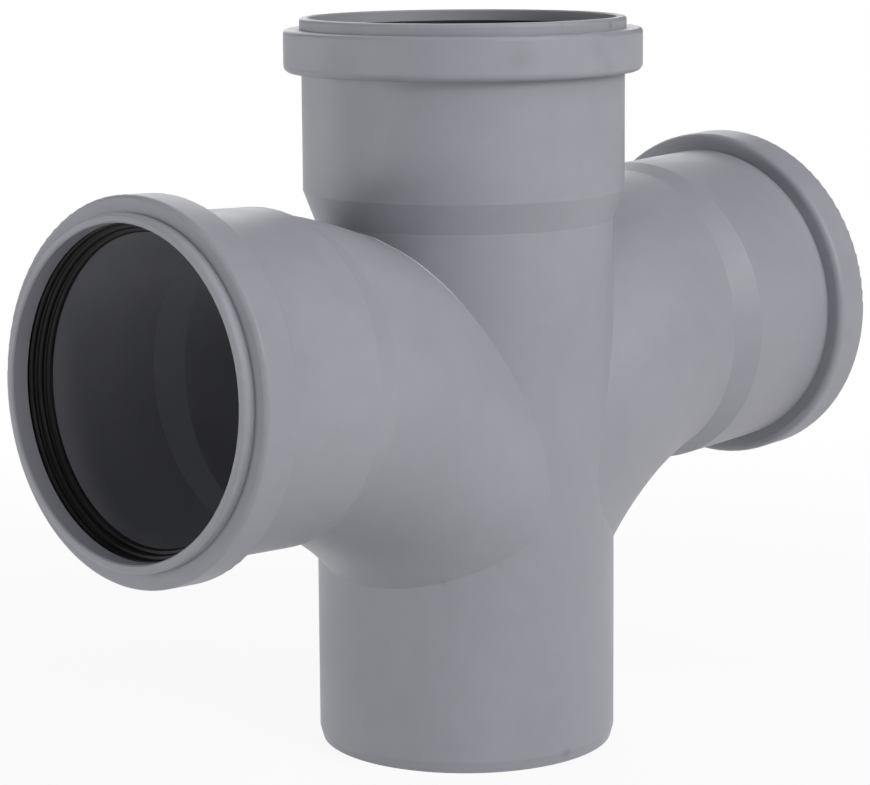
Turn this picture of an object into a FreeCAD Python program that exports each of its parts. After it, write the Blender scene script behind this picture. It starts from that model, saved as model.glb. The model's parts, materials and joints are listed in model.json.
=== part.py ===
"""Double swept branch for a push-fit waste pipe, 90 mm, with three sockets and their lip seals.

The main tube stands on its plain end (the spigot) and rises along +Z to the top socket. Two branches
leave it to either side along X, at the branch angle. Each starts as a swept bend and ends in a socket
of the same profile as the top one. The body is one moulding; each socket's seal is a ring of its own,
drawn as it lies when a pipe has been pushed in and pressed its lips back.
"""
import FreeCAD, Part
import os
import re
import Sketcher

# Every driving dimension: alias, value in millimetres or degrees, and what it is.
SIZES = [
    ("pipe_diameter", 90.0, "outside diameter of the pipe, and of the spigot and the bends' ends"),
    ("pipe_wall", 2.3, "wall of the spigot at its end and of the bends"),
    ("bore_draft", 0.15, "taper of the main bore, widest at the spigot, degrees"),
    ("body_draft", 0.15, "taper of the main tube above the spigot, degrees"),
    ("total_height", 218.7, "spigot end to the top socket's mouth"),
    ("spigot_length", 50.0, "straight length of the spigot"),
    ("spigot_bevel_length", 3.4, "length of the lead-in bevel at the spigot end"),
    ("spigot_bevel_angle", 15.0, "lead-in bevel, degrees from the axis"),
    ("branch_angle", 87.5, "branch axis from the main axis, degrees"),
    ("branch_height", 117.1, "where the branch axes cross the main axis"),
    ("branch_reach", 136.0, "main axis to a branch mouth, along the branch axis"),
    ("bend_exit_angle", 14.6, "rise of the bend's centreline where it meets its socket, degrees"),
    ("bend_overrun", 6.0, "how far the bend runs on inside its socket's taper, degrees"),
    ("bend_root_offset", 2.2, "main axis to the start of the bend's centreline"),
    ("bend_root_drop", 46.5, "how far below the branch axes' crossing the bend's centreline starts"),
    ("bend_root_narrowing", 3.2, "how much narrower than the pipe the bend is where it starts"),
    ("socket_clearance", 0.9, "how much wider than the pipe a socket's bore is"),
    ("socket_wall", 2.65, "wall of a socket behind its collar"),
    ("socket_depth", 51.6, "mouth to the end of the straight bore, where a pipe stops"),
    ("taper_lead", 0.4, "how far before the end of the bore the outside taper starts"),
    ("taper_length", 8.9, "length of the taper from a socket to its tube"),
    ("taper_sink", 1.5, "how far a branch's taper runs on inside its bend"),
    ("lip_height", 3.4, "how far the lip stands in front of the collar"),
    ("lip_relief", 0.55, "how far the lip's bore stands back from the socket's bore"),
    ("lip_wall", 2.6, "wall of the lip"),
    ("lip_round", 1.1, "rounding of the lip's outer edge"),
    ("lip_bevel", 0.4, "bevel of the lip's inner edge"),
    ("collar_front_wall", 1.9, "wall between the collar's front face and the seal's groove"),
    ("collar_rear_wall", 3.2, "wall between the seal's groove and the collar's rear face"),
    ("collar_wall", 2.5, "wall outside the seal's groove"),
    ("collar_front_round", 1.3, "rounding of the collar's front edge"),
    ("collar_rear_round", 2.2, "rounding of the collar's rear edge"),
    ("groove_depth", 5.45, "how deep the seal's groove is cut into the socket's bore"),
    ("groove_width", 7.6, "width of the groove"),
    ("seal_clearance", 0.1, "clearance between a seal's rim and its groove"),
    ("seal_press_clearance", 0.3, "how far a seal's pressed-back ridges stand off the pipe"),
    ("seal_ridge_height", 1.1, "height of a seal's ridges"),
    ("seal_ridge_crest", 0.8, "width of a ridge's crest"),
    ("seal_ridge_flank", 0.4, "width of a ridge's flank, from its foot to its crest"),
    ("seal_heel", 0.9, "plain length of a seal behind its ridges"),
    ("cut_margin", 1.0, "how far a cut starts outside the face that it opens"),
]
ALIASES = {alias for alias, _, _ in SIZES}
SEAL_RIDGES = 3

# Radii and depths of a socket, the depths measured inwards from its mouth.
SOCKET_BORE_RADIUS = "(pipe_diameter / 2 + socket_clearance / 2)"
SOCKET_RADIUS = f"({SOCKET_BORE_RADIUS} + socket_wall)"
GROOVE_RADIUS = f"({SOCKET_BORE_RADIUS} + groove_depth)"
COLLAR_RADIUS = f"({GROOVE_RADIUS} + collar_wall)"
LIP_BORE_RADIUS = f"({SOCKET_BORE_RADIUS} + lip_relief)"
LIP_RADIUS = f"({LIP_BORE_RADIUS} + lip_wall)"
GROOVE_START = "(lip_height + collar_front_wall)"
GROOVE_END = f"({GROOVE_START} + groove_width)"
COLLAR_END = f"({GROOVE_END} + collar_rear_wall)"
TAPER_START = "(socket_depth - taper_lead)"
TAPER_END = f"({TAPER_START} + taper_length)"
BORE_TAPER_END = "(socket_depth + taper_length)"

# The main tube, above its spigot and inside.
BEVEL_RADIUS = "(pipe_diameter / 2 - spigot_bevel_length * tan(spigot_bevel_angle))"
TUBE_RADIUS = f"(pipe_diameter / 2 - (total_height - {TAPER_END} - spigot_length) * tan(body_draft))"
BORE_RADIUS = "(pipe_diameter / 2 - pipe_wall)"
BORE_NARROW_RADIUS = f"({BORE_RADIUS} - (total_height - {BORE_TAPER_END}) * tan(bore_draft))"

# A branch's mouth, and its bend: the arc that leaves the socket's foot at the exit angle and reaches
# the root, in the plane of the branches.
MOUTH_ACROSS = "(branch_reach * sin(branch_angle))"
MOUTH_UP = "(branch_height + branch_reach * cos(branch_angle))"
SOCKET_FOOT = f"(branch_reach - {TAPER_END})"
FOOT_ACROSS = f"({SOCKET_FOOT} * sin(branch_angle))"
FOOT_UP = f"(branch_height + {SOCKET_FOOT} * cos(branch_angle))"
BEND_RUN = f"({FOOT_ACROSS} - bend_root_offset)"
BEND_RISE = f"({FOOT_UP} - branch_height + bend_root_drop)"
BEND_SAG = f"({BEND_RISE} * cos(bend_exit_angle) - {BEND_RUN} * sin(bend_exit_angle))"
BEND_RADIUS = f"(({BEND_RUN}^2 + {BEND_RISE}^2) / (2 * {BEND_SAG}))"
BEND_ACROSS = f"({FOOT_ACROSS} + {BEND_RADIUS} * sin(bend_exit_angle))"
BEND_UP = f"({FOOT_UP} - {BEND_RADIUS} * cos(bend_exit_angle))"
BEND_TAIL_ACROSS = f"({BEND_ACROSS} - {BEND_RADIUS} * sin(bend_exit_angle - bend_overrun))"
BEND_ROOT_RADIUS = "(pipe_diameter / 2 - bend_root_narrowing / 2)"
BEND_EXIT_RADIUS = "(pipe_diameter / 2)"
BEND_BORE_RADIUS = f"({BEND_EXIT_RADIUS} - pipe_wall)"
SINK = "(taper_sink / taper_length)"
SUNK_RADIUS = f"({BEND_EXIT_RADIUS} - ({SOCKET_RADIUS} - {BEND_EXIT_RADIUS}) * {SINK})"
SUNK_BORE_RADIUS = f"({BEND_BORE_RADIUS} - ({SOCKET_BORE_RADIUS} - {BEND_BORE_RADIUS}) * {SINK})"
SUNK_END = f"({TAPER_END} + taper_sink)"
SUNK_BORE_END = f"({BORE_TAPER_END} + taper_sink)"

os.makedirs("parts", exist_ok=True)
doc = FreeCAD.newDocument("double_branch")
sheet = doc.addObject("Spreadsheet::Sheet", "sizes")
for row, (alias, value, note) in enumerate(SIZES, start=1):
    sheet.set(f"A{row}", note)
    sheet.set(f"B{row}", repr(value))
    sheet.setAlias(f"B{row}", alias)
doc.recompute()


def bind(formula):
    """A formula of aliases, written so that the document can follow it to the sheet."""
    return re.sub(r"[a-z]+(?:_[a-z]+)*", lambda m: "sizes." + m[0] if m[0] in ALIASES else m[0], formula)


def number(formula):
    """What a formula gives with the sheet as it is now."""
    return float(sheet.evalExpression(bind(formula)))


def tie(item, formulas):
    """Bind properties of an object to their formulas, by path; one that stays zero needs none."""
    for path, formula in formulas.items():
        if formula != "0":
            item.setExpression(path, bind(formula))


def own_plane(body, role):
    """One of a body's own origin planes."""
    return next(feature for feature in body.Origin.OriginFeatures if feature.Role == role)


def add_size(sketch, kind, where, formula):
    """Add a distance or a radius to a sketch and tie it to its formula."""
    index = sketch.addConstraint(Sketcher.Constraint(kind, *where, number(formula)))
    sketch.setExpression(f"Constraints[{index}]", bind(formula))


def pin(sketch, geometry, point, across, up):
    """Hold a point of a sketch at two formulas, across and up from the origin."""
    for axis, kind, formula in ((-2, "DistanceX", across), (-1, "DistanceY", up)):
        if formula == "0":
            sketch.addConstraint(Sketcher.Constraint("PointOnObject", geometry, point, axis))
        else:
            add_size(sketch, kind, (-1, 1, geometry, point), formula)


def draw_outline(sketch, corners):
    """Draw a closed outline through corners, each (across, up, rounding or None) in formulas."""
    count = len(corners)
    spots = [FreeCAD.Vector(number(across), number(up), 0) for across, up, _ in corners]
    ways = [((spots[i - 1] - spots[i]).normalize(), (spots[(i + 1) % count] - spots[i]).normalize())
            for i in range(count)]
    radii = [number(rounding) if rounding else 0.0 for _, _, rounding in corners]
    trims = [radius * (back + on).Length / (back - on).Length for radius, (back, on) in zip(radii, ways)]
    sides = []
    for i in range(count):
        j = (i + 1) % count
        line = Part.LineSegment(spots[i] + ways[i][1] * trims[i], spots[j] + ways[j][0] * trims[j])
        sides.append(sketch.addGeometry(line, False))
    for i, (across, up, rounding) in enumerate(corners):
        before, after = sides[i - 1], sides[i]
        if not rounding:
            sketch.addConstraint(Sketcher.Constraint("Coincident", before, 2, after, 1))
            pin(sketch, after, 1, across, up)
            continue
        corner = sketch.addGeometry(Part.Point(spots[i]), True)
        pin(sketch, corner, 1, across, up)
        sketch.addConstraint(Sketcher.Constraint("PointOnObject", corner, 1, before))
        sketch.addConstraint(Sketcher.Constraint("PointOnObject", corner, 1, after))
        back, on = ways[i]
        inward = (back + on).normalize()
        centre = spots[i] + inward * (trims[i] ** 2 + radii[i] ** 2) ** 0.5
        arc = Part.Arc(spots[i] + back * trims[i], centre - inward * radii[i], spots[i] + on * trims[i])
        curve = sketch.addGeometry(arc, False)
        first, last = (1, 2) if back.cross(on).z < 0 else (2, 1)
        sketch.addConstraint(Sketcher.Constraint("Tangent", before, 2, curve, first))
        sketch.addConstraint(Sketcher.Constraint("Tangent", curve, last, after, 1))
        add_size(sketch, "Radius", (curve,), rounding)


def new_sketch(body, name, across="0", up="0", turn="0"):
    """A sketch on the body's XZ plane, its origin moved across and up and turned by formulas."""
    sketch = body.newObject("Sketcher::SketchObject", name)
    sketch.AttachmentSupport = [(own_plane(body, "XZ_Plane"), "")]
    sketch.MapMode = "FlatFace"
    rotation = FreeCAD.Rotation(FreeCAD.Vector(0, 0, 1), number(turn))
    sketch.AttachmentOffset = FreeCAD.Placement(FreeCAD.Vector(number(across), number(up), 0), rotation)
    offset = "AttachmentOffset."
    tie(sketch, {offset + "Base.x": across, offset + "Base.y": up, offset + "Rotation.Angle": turn})
    return sketch


def revolve(body, kind, name, corners, **frame):
    """Revolve an outline about its sketch's upright axis, as material (Revolution) or a cut (Groove)."""
    sketch = new_sketch(body, name + "_profile", **frame)
    draw_outline(sketch, corners)
    feature = body.newObject("PartDesign::" + kind, name)
    feature.Profile = sketch
    feature.ReferenceAxis = (sketch, ["V_Axis"])
    feature.Angle = 360.0
    return feature


def sweep(body, kind, name, path, wall):
    """Sweep a round section along the bend, growing from root to exit, a wall inside its outside."""
    sections = []
    for parameter, (end, outside) in enumerate((("exit", BEND_EXIT_RADIUS), ("root", BEND_ROOT_RADIUS))):
        sketch = body.newObject("Sketcher::SketchObject", f"{name}_{end}")
        sketch.AttachmentSupport = [(path, "Edge1")]
        sketch.MapMode = "NormalToEdge"
        sketch.MapPathParameter = float(parameter)
        radius = f"{outside} - {wall}"
        circle = Part.Circle(FreeCAD.Vector(), FreeCAD.Vector(0, 0, 1), number(radius))
        ring = sketch.addGeometry(circle, False)
        sketch.addConstraint(Sketcher.Constraint("Coincident", ring, 3, -1, 1))
        add_size(sketch, "Radius", (ring,), radius)
        sections.append(sketch)
    feature = body.newObject("PartDesign::" + kind, name)
    feature.Profile = (sections[0], [""])
    feature.Sections = [(sections[1], [""])]
    feature.Spine = (path, ["Edge1"])
    feature.Transformation = "Multisection"
    return feature


def mirror(body, name, originals):
    """Repeat features on the other side of the main tube."""
    feature = body.newObject("PartDesign::Mirrored", name)
    feature.Originals = originals
    feature.MirrorPlane = (own_plane(body, "YZ_Plane"), [""])
    body.Tip = feature


def socket_outside(place, tube_radius, end):
    """Corners along a socket's outside, mouth to tube; place turns a depth into a height."""
    return [
        (LIP_RADIUS, place("0"), "lip_round"),
        (LIP_RADIUS, place("lip_height"), None),
        (COLLAR_RADIUS, place("lip_height"), "collar_front_round"),
        (COLLAR_RADIUS, place(COLLAR_END), "collar_rear_round"),
        (SOCKET_RADIUS, place(COLLAR_END), None),
        (SOCKET_RADIUS, place(TAPER_START), None),
        (tube_radius, place(end), None),
    ]


def socket_inside(place, bore_radius, end):
    """Corners along a socket's inside, mouth to tube."""
    return [
        (f"{LIP_BORE_RADIUS} + lip_bevel + cut_margin", place("-cut_margin"), None),
        (LIP_BORE_RADIUS, place("lip_bevel"), None),
        (LIP_BORE_RADIUS, place(GROOVE_START), None),
        (GROOVE_RADIUS, place(GROOVE_START), None),
        (GROOVE_RADIUS, place(GROOVE_END), None),
        (SOCKET_BORE_RADIUS, place(GROOVE_END), None),
        (SOCKET_BORE_RADIUS, place("socket_depth"), None),
        (bore_radius, place(end), None),
    ]


def in_top_socket(depth):
    """A depth inside the top socket, as a height above the spigot end."""
    return "total_height" if depth == "0" else f"total_height - ({depth})"


def in_own_frame(depth):
    """A depth inside a branch socket, whose sketch starts at its mouth."""
    return depth


def build_moulding():
    """The one-piece body: tube, swept branches and sockets, then every bore through them."""
    body = doc.addObject("PartDesign::Body", "fitting_body")
    body.Label = "fitting_body"
    frame = {"across": MOUTH_ACROSS, "up": MOUTH_UP, "turn": "(180 - branch_angle)"}

    tube = [("0", "0", None), (BEVEL_RADIUS, "0", None), ("pipe_diameter / 2", "spigot_bevel_length", None)]
    tube += [("pipe_diameter / 2", "spigot_length", None)]
    tube += reversed(socket_outside(in_top_socket, TUBE_RADIUS, TAPER_END))
    tube += [("0", "total_height", None)]
    revolve(body, "Revolution", "main_tube", tube)

    branch = [("0", "0", None)] + socket_outside(in_own_frame, SUNK_RADIUS, SUNK_END)
    branch += [("0", SUNK_END, None)]
    socket = revolve(body, "Revolution", "branch_socket", branch, **frame)

    path = new_sketch(body, "bend_path")
    centre = FreeCAD.Vector(number(BEND_ACROSS), number(BEND_UP), 0)
    radius = number(BEND_RADIUS)
    tail = FreeCAD.Vector(number(BEND_TAIL_ACROSS), 0, 0) - centre
    root = FreeCAD.Vector(number("bend_root_offset"), 0, 0) - centre
    tail.y = (radius ** 2 - tail.x ** 2) ** 0.5
    root.y = (radius ** 2 - root.x ** 2) ** 0.5
    up_axis = FreeCAD.Vector(0, 0, 1)
    across_axis = FreeCAD.Vector(1, 0, 0)
    circle = Part.Circle(centre, up_axis, radius)
    arc = path.addGeometry(Part.ArcOfCircle(circle, across_axis.getAngle(tail), across_axis.getAngle(root)), False)
    pin(path, arc, 3, BEND_ACROSS, BEND_UP)
    add_size(path, "Radius", (arc,), BEND_RADIUS)
    add_size(path, "DistanceX", (-1, 1, arc, 1), BEND_TAIL_ACROSS)
    add_size(path, "DistanceX", (-1, 1, arc, 2), "bend_root_offset")
    doc.recompute()
    bend = sweep(body, "AdditivePipe", "branch_bend", path, "0")
    doc.recompute()
    mirror(body, "other_branch", [socket, bend])
    doc.recompute()

    bore = [("0", "-cut_margin", None), (BORE_RADIUS, "-cut_margin", None)]
    bore += reversed(socket_inside(in_top_socket, BORE_NARROW_RADIUS, BORE_TAPER_END))
    bore += [("0", "total_height + cut_margin", None)]
    revolve(body, "Groove", "main_bore", bore)
    inside = [("0", "-cut_margin", None)] + socket_inside(in_own_frame, SUNK_BORE_RADIUS, SUNK_BORE_END)
    inside += [("0", SUNK_BORE_END, None)]
    socket_bore = revolve(body, "Groove", "branch_bore", inside, **frame)
    bend_bore = sweep(body, "SubtractivePipe", "bend_bore", path, "pipe_wall")
    doc.recompute()
    mirror(body, "other_bores", [socket_bore, bend_bore])
    return body


def build_seal(name, across, up, turn):
    """A lip seal in its socket's groove, in a frame that starts at the mouth and points inwards."""
    body = doc.addObject("PartDesign::Body", name)
    body.Label = name
    rim = f"{GROOVE_RADIUS} - seal_clearance"
    crest = "(pipe_diameter / 2 + seal_press_clearance)"
    foot = f"({crest} + seal_ridge_height)"
    ridge = "(seal_ridge_crest + 2 * seal_ridge_flank)"
    gap = f"((groove_width - seal_heel) / {SEAL_RIDGES} - {ridge})"
    corners = [(rim, GROOVE_START, None), (rim, GROOVE_END, None), (foot, GROOVE_END, None)]
    for count in range(SEAL_RIDGES, 0, -1):
        back = f"({GROOVE_START} + {count} * ({gap} + {ridge}))"
        corners += [(foot, back, None)]
        corners += [(crest, f"{back} - seal_ridge_flank", None)]
        corners += [(crest, f"{back} - seal_ridge_flank - seal_ridge_crest", None)]
        corners += [(foot, f"{back} - {ridge}", None)]
    corners += [(foot, GROOVE_START, None)]
    revolve(body, "Revolution", name + "_ring", corners)
    rotation = FreeCAD.Rotation(FreeCAD.Vector(0, 1, 0), number(turn))
    body.Placement = FreeCAD.Placement(FreeCAD.Vector(number(across), 0, number(up)), rotation)
    tie(body, {"Placement.Base.x": across, "Placement.Base.z": up, "Placement.Rotation.Angle": turn})
    return body


parts = [
    build_moulding(),
    build_seal("top_seal", "0", "total_height", "180"),
    build_seal("right_branch_seal", MOUTH_ACROSS, MOUTH_UP, "(180 + branch_angle)"),
    build_seal("left_branch_seal", f"(0 - {MOUTH_ACROSS})", MOUTH_UP, "(180 - branch_angle)"),
]
doc.recompute()

for item in doc.Objects:
    if "Invalid" in item.State or "Error" in item.State:
        raise RuntimeError(f"{item.Name} failed: {item.State}")
for part in parts:
    shape = part.Shape
    if shape.isNull() or not shape.isValid() or len(shape.Solids) != 1:
        raise RuntimeError(f"{part.Label} is not one valid solid")
    shape.exportStep(f"parts/{part.Label}.step")
    box = shape.BoundBox
    spans = ((box.XMin, box.XMax), (box.YMin, box.YMax), (box.ZMin, box.ZMax))
    print(part.Label, f"{shape.Volume:.1f} mm3", " ".join(f"{low:.2f}..{high:.2f}" for low, high in spans))
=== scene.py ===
"""Drain pipe cross in grey polypropylene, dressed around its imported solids.

The body is one moulding. Its solid has the right shape, so it stays and gets a moulded plastic
finish. The three lip seals are drawn free, as they look in an empty socket, and stand for the
pressed-back rings of the frame. Thin fins of flash stand in the creases where the branches leave
the tube.
"""

import json
import logging
import math
from dataclasses import dataclass
from enum import Enum

import bmesh
import bpy
from mathutils import Matrix, Vector, noise

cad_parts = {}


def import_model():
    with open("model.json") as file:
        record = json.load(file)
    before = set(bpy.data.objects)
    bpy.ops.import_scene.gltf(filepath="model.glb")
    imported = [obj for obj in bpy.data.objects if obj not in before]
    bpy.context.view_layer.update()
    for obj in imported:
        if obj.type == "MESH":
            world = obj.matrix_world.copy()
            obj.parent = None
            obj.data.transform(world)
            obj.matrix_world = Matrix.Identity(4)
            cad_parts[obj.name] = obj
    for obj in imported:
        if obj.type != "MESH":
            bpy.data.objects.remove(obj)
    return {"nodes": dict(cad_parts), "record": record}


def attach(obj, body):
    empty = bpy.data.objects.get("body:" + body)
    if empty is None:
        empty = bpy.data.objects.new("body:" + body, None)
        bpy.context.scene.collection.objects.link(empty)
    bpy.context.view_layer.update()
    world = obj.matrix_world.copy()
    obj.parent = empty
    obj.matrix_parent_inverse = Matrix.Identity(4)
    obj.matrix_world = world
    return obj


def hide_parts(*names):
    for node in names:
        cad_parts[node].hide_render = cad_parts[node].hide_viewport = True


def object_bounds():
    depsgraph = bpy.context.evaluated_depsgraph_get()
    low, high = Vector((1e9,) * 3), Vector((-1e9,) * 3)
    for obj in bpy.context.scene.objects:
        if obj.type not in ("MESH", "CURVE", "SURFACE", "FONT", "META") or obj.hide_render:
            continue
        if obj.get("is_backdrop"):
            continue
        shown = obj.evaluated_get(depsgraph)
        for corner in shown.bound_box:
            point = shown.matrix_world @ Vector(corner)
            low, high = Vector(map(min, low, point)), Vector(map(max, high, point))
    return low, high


LOG = logging.getLogger("drain_pipe_cross")
MM = 0.001
BODY = "root"
# Most values of a noise texture lie between these.
NOISE_SPAN = (0.3, 0.7)

Colour = tuple[float, float, float]
Triple = tuple[float, float, float]


class Slot(Enum):
    """The record's material slots."""

    GREY_POLYPROPYLENE = "grey_polypropylene"
    BLACK_RUBBER = "black_rubber"


class Node(Enum):
    """The frame's nodes."""

    MOULDING = "fitting_body"
    TOP_SEAL = "top_seal"
    RIGHT_SEAL = "right_branch_seal"
    LEFT_SEAL = "left_branch_seal"


class Side(Enum):
    """The two sides of the main tube, as the sign of X."""

    LEFT = -1
    RIGHT = 1


class Graph:
    """A material's or the world's node tree, with short ways to add and join its nodes."""

    def __init__(self, tree: bpy.types.NodeTree) -> None:
        """Start from an empty tree.

        Args:
            tree: the tree to fill.
        """
        self.tree = tree
        tree.nodes.clear()

    def add(self, kind: str, sockets: dict[str, object] | None = None,
            **settings: object) -> bpy.types.Node:
        """Add a node.

        Args:
            kind: the node's type name, without its ShaderNode prefix.
            sockets: values or output sockets for its inputs, by input name or index.
            settings: values for its own properties.

        Returns:
            The new node.
        """
        node = self.tree.nodes.new("ShaderNode" + kind)
        for name, value in settings.items():
            setattr(node, name, value)
        for name, value in (sockets or {}).items():
            if isinstance(value, bpy.types.NodeSocket):
                self.tree.links.new(value, node.inputs[name])
            else:
                node.inputs[name].default_value = value
        return node

    def output(self, kind: str, shader: bpy.types.NodeSocket) -> None:
        """Join a shader to the tree's output.

        Args:
            kind: OutputMaterial or OutputWorld.
            shader: what the surface shows.
        """
        self.add(kind, {"Surface": shader})

    def noise(self, scale: float, detail: float, where: bpy.types.NodeSocket) -> bpy.types.NodeSocket:
        """Noise at a scale in cycles per metre.

        Args:
            scale: cycles per metre.
            detail: octaves above the first.
            where: the coordinates.

        Returns:
            The noise's value, about 0.5 at its middle.
        """
        return self.add("TexNoise", {"Vector": where, "Scale": scale, "Detail": detail}).outputs[0]

    def remap(self, value: bpy.types.NodeSocket, source: tuple[float, float],
              target: tuple[float, float]) -> bpy.types.NodeSocket:
        """Carry a range over to another one smoothly, clamped at both ends.

        Args:
            value: what is carried over.
            source: the range that it is in.
            target: the range that it gets.

        Returns:
            The value in the new range.
        """
        node = self.add("MapRange", {"Value": value}, interpolation_type="SMOOTHSTEP")
        for name, number in zip(("From Min", "From Max", "To Min", "To Max"), (*source, *target)):
            node.inputs[name].default_value = number
        return node.outputs[0]

    def math(self, operation: str, first: object, second: object) -> bpy.types.NodeSocket:
        """Combine two numbers.

        Args:
            operation: the Math node's operation.
            first: a number or a socket.
            second: a number or a socket.

        Returns:
            The result's socket.
        """
        return self.add("Math", {0: first, 1: second}, operation=operation).outputs[0]

    def spot(self, where: bpy.types.NodeSocket, centre: Triple, reach: float) -> bpy.types.NodeSocket:
        """A soft round mark.

        Args:
            where: the coordinates.
            centre: the mark's middle, in metres.
            reach: how far it fades out, in metres.

        Returns:
            One at the middle, falling to zero at the reach.
        """
        gap = self.add("VectorMath", {0: where, 1: centre}, operation="DISTANCE").outputs["Value"]
        return self.remap(gap, (0.0, reach), (1.0, 0.0))

    def coat(self, colour: bpy.types.NodeSocket, roughness: bpy.types.NodeSocket, reflection: float,
             height: bpy.types.NodeSocket, distance: float) -> None:
        """Finish a material with one shader and its bump.

        Args:
            colour: the base colour.
            roughness: the roughness.
            reflection: the index of refraction.
            height: the surface's height.
            distance: how far a height of one stands out, in metres.
        """
        bump = self.add("Bump", {"Height": height, "Strength": 1.0, "Distance": distance})
        shader = self.add("BsdfPrincipled", {
            "Base Color": colour,
            "Roughness": roughness,
            "IOR": reflection,
            "Normal": bump.outputs[0],
        })
        self.output("OutputMaterial", shader.outputs[0])


def start_material(name: str) -> tuple[bpy.types.Material, Graph, bpy.types.NodeSocket]:
    """Start a material whose patterns lie in the piece's own coordinates.

    Args:
        name: the material's name.

    Returns:
        The material, its empty tree and the coordinates.
    """
    material = bpy.data.materials.new(name)
    material.use_nodes = True
    graph = Graph(material.node_tree)
    where = graph.add("TexCoord").outputs["Object"]
    return material, graph, graph.add("Mapping", {"Vector": where}).outputs[0]


@dataclass(frozen=True)
class Mark:
    """A small scuff on the plastic: its middle, where it fades out, and how dark it is at most."""

    centre: Triple
    reach: float
    strength: float


@dataclass(frozen=True)
class MouldedPlastic:
    """Satin polypropylene as it comes out of the tool, with faint flow clouds and handling marks."""

    name: str = "moulded_polypropylene"
    colour: Colour = (0.342, 0.344, 0.382)
    cloud_depth: float = 0.035
    cloud_scale: float = 21.0
    mottle_scale: float = 160.0
    mottle_depth: float = 0.012
    roughness: float = 0.48
    roughness_swing: float = 0.05
    sheen_scale: float = 42.0
    grain_scale: float = 1400.0
    grain_height: float = 0.010
    sink_scale: float = 38.0
    sink_height: float = 0.12
    bump_distance: float = MM
    reflection: float = 1.46
    marks: tuple[Mark, ...] = ()

    def build(self) -> bpy.types.Material:
        """Make the material.

        Returns:
            The material, ready to assign.
        """
        material, graph, place = start_material(self.name)
        low = self.roughness - self.roughness_swing
        high = self.roughness + self.roughness_swing
        roughness = graph.remap(graph.noise(self.sheen_scale, 3.0, place), NOISE_SPAN, (low, high))
        grain = graph.math("MULTIPLY", graph.noise(self.grain_scale, 2.0, place), self.grain_height)
        sink = graph.math("MULTIPLY", graph.noise(self.sink_scale, 1.0, place), self.sink_height)
        height = graph.math("ADD", grain, sink)
        graph.coat(self._colour(graph, place), roughness, self.reflection, height, self.bump_distance)
        return material

    def _colour(self, graph: Graph, place: bpy.types.NodeSocket) -> bpy.types.NodeSocket:
        """The base colour with its clouds, mottle and marks.

        Args:
            graph: the material's tree.
            place: the coordinates.

        Returns:
            The colour's socket.
        """
        clouds = graph.remap(graph.noise(self.cloud_scale, 4.0, place), NOISE_SPAN,
                             (1.0 - self.cloud_depth, 1.0 + self.cloud_depth))
        mottle = graph.remap(graph.noise(self.mottle_scale, 2.0, place), NOISE_SPAN,
                             (1.0 - self.mottle_depth, 1.0 + self.mottle_depth))
        shade = graph.math("MULTIPLY", clouds, mottle)
        for mark in self.marks:
            spot = graph.spot(place, mark.centre, mark.reach)
            ragged = graph.math("MULTIPLY", spot, graph.noise(1.0 / mark.reach, 4.0, place))
            darker = graph.math("MULTIPLY", ragged, mark.strength)
            shade = graph.math("MULTIPLY", shade, graph.math("SUBTRACT", 1.0, darker))
        mixed = graph.add("VectorMath", {0: self.colour, "Scale": shade}, operation="SCALE")
        return mixed.outputs[0]


@dataclass(frozen=True)
class SealRubber:
    """Black rubber with a dull sheen and a trace of dust."""

    name: str = "black_seal_rubber"
    colour: Colour = (0.0062, 0.0055, 0.0058)
    dust_colour: Colour = (0.013, 0.012, 0.012)
    dust_scale: float = 260.0
    dust_span: tuple[float, float] = (0.55, 0.8)
    roughness: float = 0.46
    roughness_swing: float = 0.10
    grain_scale: float = 2200.0
    grain_height: float = 0.015
    bump_distance: float = MM
    reflection: float = 1.36

    def build(self) -> bpy.types.Material:
        """Make the material.

        Returns:
            The material, ready to assign.
        """
        material, graph, place = start_material(self.name)
        dust = graph.remap(graph.noise(self.dust_scale, 5.0, place), self.dust_span, (0.0, 1.0))
        colour = graph.add("Mix", {"Factor": dust}, data_type="RGBA")
        colour.inputs["A"].default_value = (*self.colour, 1.0)
        colour.inputs["B"].default_value = (*self.dust_colour, 1.0)
        roughness = graph.remap(dust, (0.0, 1.0), (self.roughness, self.roughness + self.roughness_swing))
        grain = graph.math("MULTIPLY", graph.noise(self.grain_scale, 2.0, place), self.grain_height)
        graph.coat(colour.outputs["Result"], roughness, self.reflection, grain, self.bump_distance)
        return material


def new_piece(name: str, mesh: bpy.types.Mesh,
              material: bpy.types.Material) -> bpy.types.Object:
    """Make a piece from a mesh that is already in place.

    Args:
        name: the piece's name.
        mesh: its mesh, in the frame's coordinates.
        material: its finish.

    Returns:
        The piece, riding on the body.
    """
    mesh.name = name
    mesh.materials.clear()
    mesh.materials.append(material)
    piece = bpy.data.objects.new(name, mesh)
    bpy.context.scene.collection.objects.link(piece)
    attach(piece, BODY)
    LOG.info("%s: %d faces", name, len(mesh.polygons))
    return piece


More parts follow.
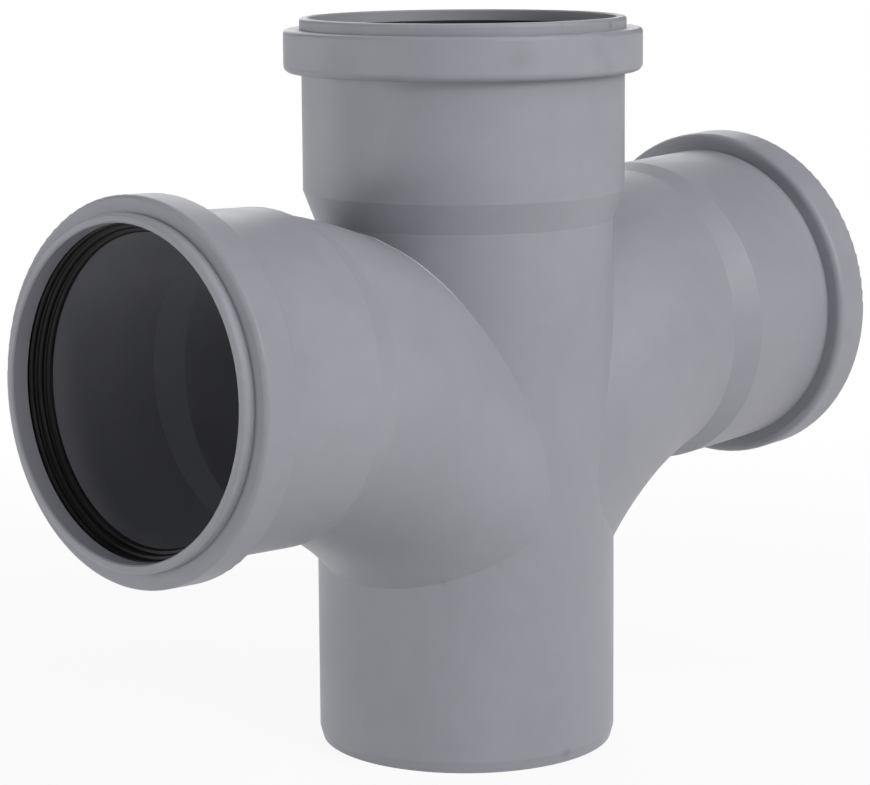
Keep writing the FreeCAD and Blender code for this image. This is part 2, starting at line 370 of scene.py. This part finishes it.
@dataclass(frozen=True)
class SocketPlace:
    """One socket: its ring's name, the node that the ring stands for, and the frame's mount there.

    The bore that the mount describes starts at the depth bore_start. A ring that is proud bulges out
    of its groove towards the mouth.
    """

    name: str
    node: Node
    mount: str
    proud: float = 0.0
    bore_start: float = 12.9 * MM

    def matrix(self, mounts: dict[str, dict]) -> Matrix:
        """What carries a ring drawn around +Z, from the mouth inwards, to this socket.

        Args:
            mounts: the record's mounts, by name.

        Returns:
            The turn and the move. A mount lies at the middle of its bore and looks out of the mouth.
        """
        mount = mounts[self.mount]
        outward = Vector(mount["axis"])
        half_length = 0.5 * mount["dims"]["length_mm"] * MM
        mouth = Vector(mount["pos_m"]) + outward * (half_length + self.bore_start)
        turn = Vector((0.0, 0.0, 1.0)).rotation_difference(-outward)
        return Matrix.Translation(mouth) @ turn.to_matrix().to_4x4()


@dataclass
class LipSeal:
    """A rubber ring: a heel that sits in the groove and a ribbed lip that narrows inwards.

    Depths are measured from the socket's mouth, but web_back and heel_front from the ring's front. A
    rib takes rib_share of its pitch, and each of its flanks takes rib_flank of the rib.
    """

    rim_radius: float = 50.8 * MM
    front: float = 5.35 * MM
    back: float = 12.85 * MM
    lip_front_radius: float = 46.75 * MM
    bulge_radius: float = 45.7 * MM
    lip_back_radius: float = 43.3 * MM
    lip_front: float = 5.6 * MM
    lip_back: float = 12.3 * MM
    lip_thickness: float = 1.5 * MM
    front_step: float = 0.5 * MM
    bulge_step: float = 0.15 * MM
    heel_radius: float = 48.6 * MM
    heel_drop: float = 0.6 * MM
    web_back: float = 3.2 * MM
    heel_front: float = 3.8 * MM
    ribs: int = 3
    rib_height: float = 0.80 * MM
    rib_share: float = 0.74
    rib_flank: float = 0.22
    edge_round: float = 0.22 * MM
    sharp_angle: float = math.radians(22.0)
    weld: float = 0.001 * MM
    steps: int = 192

    def profile(self, proud: float) -> list[Vector]:
        """The section's corners, as radius and depth.

        Args:
            proud: how far the lip's front bulges out of the groove, towards the mouth.

        Returns:
            The corners in order around the section.
        """
        front_radius = self.bulge_radius if proud else self.lip_front_radius
        start = Vector((front_radius, 0.0, self.lip_front - proud))
        end = Vector((self.lip_back_radius, 0.0, self.lip_back))
        along = end - start
        inward = Vector((along.z, 0.0, -along.x)).normalized() * -self.rib_height
        corners = [Vector((self.rim_radius, 0.0, self.front))]
        if proud:
            corners.append(Vector((self.bulge_radius + self.bulge_step, 0.0, self.front)))
            corners.append(Vector((self.bulge_radius + self.bulge_step, 0.0, self.front - proud)))
        else:
            corners.append(Vector((self.lip_front_radius + self.front_step, 0.0, self.front)))
        pitch = 1.0 / self.ribs
        for rib in range(self.ribs):
            foot = (rib + 0.5 * (1.0 - self.rib_share)) * pitch
            crest = self.rib_share * pitch
            corners.append(start + along * foot)
            corners.append(start + along * (foot + self.rib_flank * crest) + inward)
            corners.append(start + along * (foot + (1.0 - self.rib_flank) * crest) + inward)
            corners.append(start + along * (foot + crest))
        corners.append(end)
        corners.append(end - inward.normalized() * self.lip_thickness)
        corners.append(Vector((self.heel_radius - self.heel_drop, 0.0, self.front + self.web_back)))
        corners.append(Vector((self.heel_radius, 0.0, self.front + self.heel_front)))
        corners.append(Vector((self.heel_radius, 0.0, self.back)))
        corners.append(Vector((self.rim_radius, 0.0, self.back)))
        return corners

    def build_mesh(self, proud: float) -> bpy.types.Mesh:
        """Spin the section into a ring with softened edges.

        Args:
            proud: how far the lip's front bulges out of the groove, towards the mouth.

        Returns:
            The ring around +Z, its mouth side at the lower end.
        """
        shape = bmesh.new()
        points = [shape.verts.new(corner) for corner in self.profile(proud)]
        sides = [shape.edges.new((points[i - 1], points[i])) for i in range(len(points))]
        bmesh.ops.spin(shape, geom=points + sides, cent=(0.0, 0.0, 0.0), axis=(0.0, 0.0, 1.0),
                       angle=2.0 * math.pi, steps=self.steps, use_merge=True)
        bmesh.ops.remove_doubles(shape, verts=shape.verts, dist=self.weld)
        bmesh.ops.recalc_face_normals(shape, faces=shape.faces)
        sharp = [edge for edge in shape.edges
                 if edge.is_manifold and edge.calc_face_angle() > self.sharp_angle]
        bmesh.ops.bevel(shape, geom=sharp, offset=self.edge_round, offset_type="OFFSET", affect="EDGES",
                        segments=2, profile=0.5, material=-1)
        for face in shape.faces:
            face.smooth = True
        mesh = bpy.data.meshes.new("ring")
        shape.to_mesh(mesh)
        shape.free()
        return mesh

    def fit(self, place: SocketPlace, mounts: dict[str, dict],
            material: bpy.types.Material) -> bpy.types.Object:
        """Put a ring into a socket.

        Args:
            place: the socket.
            mounts: the record's mounts, by name.
            material: the rubber.

        Returns:
            The finished piece.
        """
        mesh = self.build_mesh(place.proud)
        mesh.transform(place.matrix(mounts))
        piece = new_piece(place.name, mesh, material)
        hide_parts(place.node.value)
        return piece


@dataclass
class CreaseFlash:
    """Thin fins of flash left along the creases where the branches leave the main tube.

    A fin is highest at the crown and has a small knot in front of it, both placed along Y. It starts
    at the level lowest and has its full height above full_above.
    """

    inner_reach: float = 44.0 * MM
    outer_reach: float = 49.5 * MM
    lowest: float = 135.0 * MM
    highest: float = 175.0 * MM
    concave_angle: float = math.radians(14.0)
    tube_facing: float = 0.90
    branch_facing: float = 0.80
    thickness: float = 0.34 * MM
    sunk: float = 0.30 * MM
    side_height: float = 0.32 * MM
    crown_height: float = 1.75 * MM
    crown_y: float = -1.0 * MM
    crown_reach: float = 6.0 * MM
    knot_y: float = -6.9 * MM
    knot_reach: float = 1.1 * MM
    knot_height: float = 0.50 * MM
    full_above: float = 150.0 * MM
    unevenness: float = 0.35
    wobble_scale: float = 230.0
    edge_round: float = 0.08 * MM
    sharp_angle: float = 1.0
    weld: float = 0.002 * MM

    def crease(self, node: bpy.types.Object, side: Side) -> list[Vector]:
        """Read one branch's upper crease from a merged copy of the moulding's mesh.

        Args:
            node: the moulding.
            side: which branch.

        Returns:
            The crease's points in order, from the front over the top to the back.
        """
        shape = bmesh.new()
        shape.from_mesh(node.data)
        bmesh.ops.remove_doubles(shape, verts=shape.verts, dist=self.weld)
        links: dict[int, list[int]] = {}
        spots: dict[int, Vector] = {}
        for edge in shape.edges:
            if self._creased(edge) and all(self._near(vertex.co, side) for vertex in edge.verts):
                first, last = edge.verts
                spots[first.index] = first.co.copy()
                spots[last.index] = last.co.copy()
                links.setdefault(first.index, []).append(last.index)
                links.setdefault(last.index, []).append(first.index)
        shape.free()
        return self._walk(links, spots)

    def _creased(self, edge: bmesh.types.BMEdge) -> bool:
        """Tell whether an edge is hollow and parts the main tube's outside from a branch.

        Args:
            edge: an edge of the moulding.

        Returns:
            Whether it is part of a crease.
        """
        if not edge.is_manifold or edge.calc_face_angle_signed() > -self.concave_angle:
            return False
        middle = edge.verts[0].co + edge.verts[1].co
        outward = Vector((middle.x, middle.y, 0.0)).normalized()
        facing = sorted(face.normal.dot(outward) for face in edge.link_faces)
        return facing[0] < self.branch_facing and facing[1] > self.tube_facing

    def _near(self, spot: Vector, side: Side) -> bool:
        """Tell whether a point is where a branch's upper crease can be.

        Args:
            spot: a point of the moulding.
            side: which branch.

        Returns:
            Whether it is near the main tube's outside, on that side and high enough.
        """
        on_tube = self.inner_reach < math.hypot(spot.x, spot.y) < self.outer_reach
        return on_tube and spot.x * side.value > 0.0 and self.lowest < spot.z < self.highest

    @staticmethod
    def _walk(links: dict[int, list[int]], spots: dict[int, Vector]) -> list[Vector]:
        """Put the points of the longest chain in order.

        Args:
            links: each point's neighbours.
            spots: each point's place.

        Returns:
            The places along the chain.
        """
        best: list[int] = []
        left = set(links)
        while left:
            ends = [index for index in left if len(links[index]) == 1]
            here = min(ends or left, key=lambda index: (spots[index].y, spots[index].z))
            chain = [here]
            left.discard(here)
            while True:
                onward = [index for index in links[chain[-1]] if index in left]
                if not onward:
                    break
                here = onward[0]
                chain.append(here)
                left.discard(here)
            if len(chain) > len(best):
                best = chain
        return [spots[index] for index in best]

    def _height(self, spot: Vector) -> float:
        """How far the fin stands out of the crease at a point.

        Args:
            spot: the point.

        Returns:
            The height: most at the crown, with a small knot in front, fading out down the sides.
        """
        crown = math.exp(-((spot.y - self.crown_y) / self.crown_reach) ** 2)
        knot = math.exp(-((spot.y - self.knot_y) / self.knot_reach) ** 2)
        height = self.side_height + (self.crown_height - self.side_height) * crown + self.knot_height * knot
        fade = min(1.0, (spot.z - self.lowest) / (self.full_above - self.lowest))
        return height * fade * (1.0 + self.unevenness * noise.noise(spot * self.wobble_scale))

    @staticmethod
    def _nearest(path: list[Vector], spot: Vector) -> int:
        """The number of the path's point that is nearest to a place."""
        return min(range(len(path)), key=lambda index: (path[index] - spot).length)

    def build(self, node: bpy.types.Object, side: Side, name: str,
              material: bpy.types.Material) -> bpy.types.Object:
        """Stand a fin along one branch's crease.

        Args:
            node: the moulding.
            side: which branch.
            name: the piece's name.
            material: the flash's plastic.

        Returns:
            The finished piece.
        """
        path = self.crease(node, side)
        LOG.info("%s: crease of %d points, from %s to %s", name, len(path), path[0], path[-1])
        shape = bmesh.new()
        feet = [shape.verts.new(spot) for spot in path]
        line = [shape.edges.new(pair) for pair in zip(feet, feet[1:])]
        raised = bmesh.ops.extrude_edge_only(shape, edges=line)["geom"]
        crest = sorted((item for item in raised if isinstance(item, bmesh.types.BMVert)),
                       key=lambda vertex: self._nearest(path, vertex.co))
        for foot, tip, spot in zip(feet, crest, path):
            outward = (Vector((spot.x, spot.y, 0.0)).normalized() + Vector((0.0, 0.0, 1.0))).normalized()
            foot.co = spot - outward * self.sunk
            tip.co = spot + outward * self._height(spot)
        bmesh.ops.recalc_face_normals(shape, faces=shape.faces)
        bmesh.ops.solidify(shape, geom=shape.faces[:], thickness=self.thickness)
        bmesh.ops.recalc_face_normals(shape, faces=shape.faces)
        sharp = [edge for edge in shape.edges
                 if edge.is_manifold and edge.calc_face_angle() > self.sharp_angle]
        bmesh.ops.bevel(shape, geom=sharp, offset=self.edge_round, offset_type="OFFSET", affect="EDGES",
                        segments=2, profile=0.5, material=-1, clamp_overlap=True)
        for face in shape.faces:
            face.smooth = True
        mesh = bpy.data.meshes.new(name)
        shape.to_mesh(mesh)
        shape.free()
        return new_piece(name, mesh, material)


@dataclass
class Moulding:
    """The one-piece body, whose solid stays and is dressed in moulded plastic."""

    node: bpy.types.Object
    finish: MouldedPlastic

    def dress(self) -> bpy.types.Material:
        """Give the solid its finish.

        Returns:
            The material.
        """
        material = self.finish.build()
        self.node.data.materials.clear()
        self.node.data.materials.append(material)
        LOG.info("%s: dressed in %s", self.node.name, material.name)
        return material


@dataclass(frozen=True)
class Softbox:
    """A rectangular lamp aimed at the fitting."""

    name: str
    place: Triple
    width: float
    height: float
    power: float
    tint: Colour = (1.0, 1.0, 1.0)
    aim: Triple = (0.0, 0.0, 0.11)

    def build(self) -> bpy.types.Object:
        """Hang the lamp.

        Returns:
            The lamp's object.
        """
        light = bpy.data.lights.new(self.name, "AREA")
        light.shape = "RECTANGLE"
        light.size = self.width
        light.size_y = self.height
        light.energy = self.power
        light.color = self.tint
        lamp = bpy.data.objects.new(self.name, light)
        bpy.context.scene.collection.objects.link(lamp)
        lamp.location = self.place
        away = Vector(self.place) - Vector(self.aim)
        lamp.rotation_euler = away.to_track_quat("Z", "Y").to_euler()
        return lamp


@dataclass(frozen=True)
class Viewpoint:
    """The photograph's camera: where it stands, how it is turned, and its framing."""

    place: Triple = (-0.62669, -0.57755, 0.25714)
    yaw: float = math.radians(46.681)
    pitch: float = math.radians(8.305)
    roll: float = math.radians(0.428)
    lens: float = 118.352
    sensor_width: float = 36.0
    shift_across: float = 0.0035
    shift_up: float = -0.1030

    def build(self) -> bpy.types.Object:
        """Set up the camera.

        Returns:
            The camera's object.
        """
        forward = Vector((math.sin(self.yaw) * math.cos(self.pitch),
                          math.cos(self.yaw) * math.cos(self.pitch), -math.sin(self.pitch)))
        level = Vector((math.cos(self.yaw), -math.sin(self.yaw), 0.0))
        down = forward.cross(level)
        across = level * math.cos(self.roll) + down * math.sin(self.roll)
        drop = down * math.cos(self.roll) - level * math.sin(self.roll)
        camera = bpy.data.cameras.new("camera")
        camera.lens = self.lens
        camera.sensor_width = self.sensor_width
        camera.shift_x = self.shift_across
        camera.shift_y = self.shift_up
        holder = bpy.data.objects.new("camera", camera)
        bpy.context.scene.collection.objects.link(holder)
        turn = Matrix((across, -drop, -forward)).transposed()
        holder.matrix_world = Matrix.Translation(self.place) @ turn.to_4x4()
        bpy.context.scene.camera = holder
        return holder


@dataclass
class Studio:
    """Pale floor, even world light, soft lamps and the camera.

    The floor throws floor_bounce of its light back at the fitting. To the camera it is floor_colour,
    mixed with white: near_whiteness of it near the fitting, and all of it at the far whiteness_reach.
    """

    floor_radius: float = 17.0
    floor_segments: int = 96
    floor_colour: float = 0.90
    floor_bounce: float = 0.77
    near_whiteness: float = 0.90
    whiteness_reach: tuple[float, float] = (0.14, 0.60)
    world_strength: float = 0.015
    lamps: tuple[Softbox, ...] = (
        Softbox("front_softbox", (0.08, -2.00, 1.00), 1.5, 0.8, power=25.0, tint=(1.0, 0.985, 1.0)),
        Softbox("front_high_softbox", (0.15, -1.30, 1.80), 1.2, 1.0, power=10.0, tint=(0.97, 1.0, 1.0)),
        Softbox("right_front_strip", (0.80, -2.00, 0.30), 1.9, 0.5, power=0.8),
        Softbox("left_softbox", (-2.00, 0.20, 0.80), 1.4, 1.4, power=4.5, tint=(0.96, 1.0, 1.0)),
        Softbox("left_low_softbox", (-1.90, 0.60, 0.14), 0.5, 0.26, power=6.5),
        Softbox("left_back_softbox", (-1.00, 2.10, 0.35), 1.4, 0.6, power=10.0),
        Softbox("back_softbox", (1.20, 1.50, 1.00), 1.4, 1.4, power=18.0),
        Softbox("top_softbox", (0.0, 0.0, 2.10), 1.4, 1.4, power=6.0, tint=(0.96, 1.0, 1.0)),
    )

    def build(self) -> None:
        """Set up everything around the fitting."""
        bpy.context.scene.view_settings.view_transform = "Standard"
        Viewpoint().build()
        self._floor()
        self._world()
        for lamp in self.lamps:
            lamp.build()
            LOG.info("%s: %.1f W", lamp.name, lamp.power)

    @staticmethod
    def _seen(graph: Graph) -> bpy.types.NodeSocket:
        """Tell camera rays from those that light the fitting.

        Args:
            graph: the floor's tree.

        Returns:
            One where the camera sees the floor, itself, in a reflection or through something.
        """
        path = graph.add("LightPath")
        mirrored = graph.math("MAXIMUM", path.outputs["Is Glossy Ray"], path.outputs["Is Transmission Ray"])
        return graph.math("MAXIMUM", path.outputs["Is Camera Ray"], mirrored)

    def _floor(self) -> None:
        """Lay a wide round floor that looks white and keeps the fitting's shadow."""
        shape = bmesh.new()
        bmesh.ops.create_circle(shape, cap_ends=True, segments=self.floor_segments,
                                radius=self.floor_radius)
        mesh = bpy.data.meshes.new("floor")
        shape.to_mesh(mesh)
        shape.free()
        material, graph, place = start_material("studio_floor")
        reach = graph.add("VectorMath", {0: place}, operation="LENGTH").outputs["Value"]
        whiteness = graph.remap(reach, self.whiteness_reach, (self.near_whiteness, 1.0))
        seen = self._seen(graph)
        tone = graph.remap(seen, (0.0, 1.0), (self.floor_bounce, self.floor_colour))
        paint = graph.add("BsdfDiffuse", {"Color": tone})
        white = graph.add("Emission", {"Color": (1.0, 1.0, 1.0, 1.0), "Strength": 1.0})
        share = graph.math("MULTIPLY", whiteness, seen)
        mixed = graph.add("MixShader", {0: share, 1: paint.outputs[0], 2: white.outputs[0]})
        graph.output("OutputMaterial", mixed.outputs[0])
        mesh.materials.append(material)
        floor = bpy.data.objects.new("floor", mesh)
        bpy.context.scene.collection.objects.link(floor)
        floor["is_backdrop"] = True

    def _world(self) -> None:
        """Light everything evenly, and show white where the camera looks past the floor."""
        world = bpy.data.worlds.new("studio_world")
        world.use_nodes = True
        bpy.context.scene.world = world
        graph = Graph(world.node_tree)
        even = graph.add("Background", {"Color": (1.0, 1.0, 1.0, 1.0), "Strength": self.world_strength})
        white = graph.add("Background", {"Color": (1.0, 1.0, 1.0, 1.0), "Strength": 1.0})
        is_camera = graph.add("LightPath").outputs["Is Camera Ray"]
        mixed = graph.add("MixShader", {0: is_camera, 1: even.outputs[0], 2: white.outputs[0]})
        graph.output("OutputWorld", mixed.outputs[0])


@dataclass
class SizeReport:
    """The CAD box, taken as soon as the frame is loaded."""

    cad: tuple[Vector, Vector]

    def write(self) -> None:
        """Do nothing: the method is empty, so no box is written."""


SOCKETS = (
    SocketPlace("top_lip_seal", Node.TOP_SEAL, "top_socket", proud=2.1 * MM),
    SocketPlace("right_branch_lip_seal", Node.RIGHT_SEAL, "right_branch_socket"),
    SocketPlace("left_branch_lip_seal", Node.LEFT_SEAL, "left_branch_socket"),
)

HANDLING_MARKS = (
    Mark((-0.0265, -0.0463, 0.2085), 5.0 * MM, 0.16),
    Mark((-0.0002, -0.0534, 0.2117), 6.0 * MM, 0.14),
    Mark((0.0035, -0.0533, 0.2059), 4.0 * MM, 0.14),
    Mark((-0.0372, -0.0254, 0.0574), 2.2 * MM, 0.22),
    Mark((-0.0255, -0.0371, 0.0622), 2.0 * MM, 0.16),
    Mark((-0.0048, -0.0440, 0.0029), 3.0 * MM, 0.42),
    Mark((0.0117, -0.0472, 0.2167), 2.0 * MM, 0.45),
    Mark((-0.0100, -0.0476, 0.2180), 1.5 * MM, 0.30),
    Mark((0.1242, -0.0526, 0.1132), 4.0 * MM, 0.14),
    Mark((0.1265, -0.0155, 0.1738), 2.0 * MM, 0.22),
)

# Flash is painted much paler than the walls: partly the whiter look of thin flash itself, mostly painted
# light that stands in for the light shining through the thin fin and for its bright line where the crease
# lies in shade.
PAINTED_PALE_FLASH = MouldedPlastic(name="flash_polypropylene_painted_pale", colour=(0.78, 0.78, 0.80), sink_height=0.0)


def main() -> None:
    """Load the frame, dress the fitting and set up the studio around it."""
    logging.basicConfig(level=logging.INFO, format="%(name)s %(message)s")
    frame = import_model()
    report = SizeReport(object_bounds())
    Studio().build()
    moulding = Moulding(frame["nodes"][Node.MOULDING.value], MouldedPlastic(marks=HANDLING_MARKS))
    moulding.dress()
    mounts = {mount["name"]: mount for mount in frame["record"]["mounts"]}
    rubber = SealRubber().build()
    seal = LipSeal()
    for place in SOCKETS:
        seal.fit(place, mounts, rubber)
    flash = CreaseFlash()
    # The fins' pale colour is partly the flash's own, mostly painted light for light through the fin and
    # its bright line.
    painted_pale_plastic = PAINTED_PALE_FLASH.build()
    flash.build(moulding.node, Side.LEFT, "left_crease_flash", painted_pale_plastic)
    flash.build(moulding.node, Side.RIGHT, "right_crease_flash", painted_pale_plastic)
    report.write()


if __name__ == "__main__":
    main()
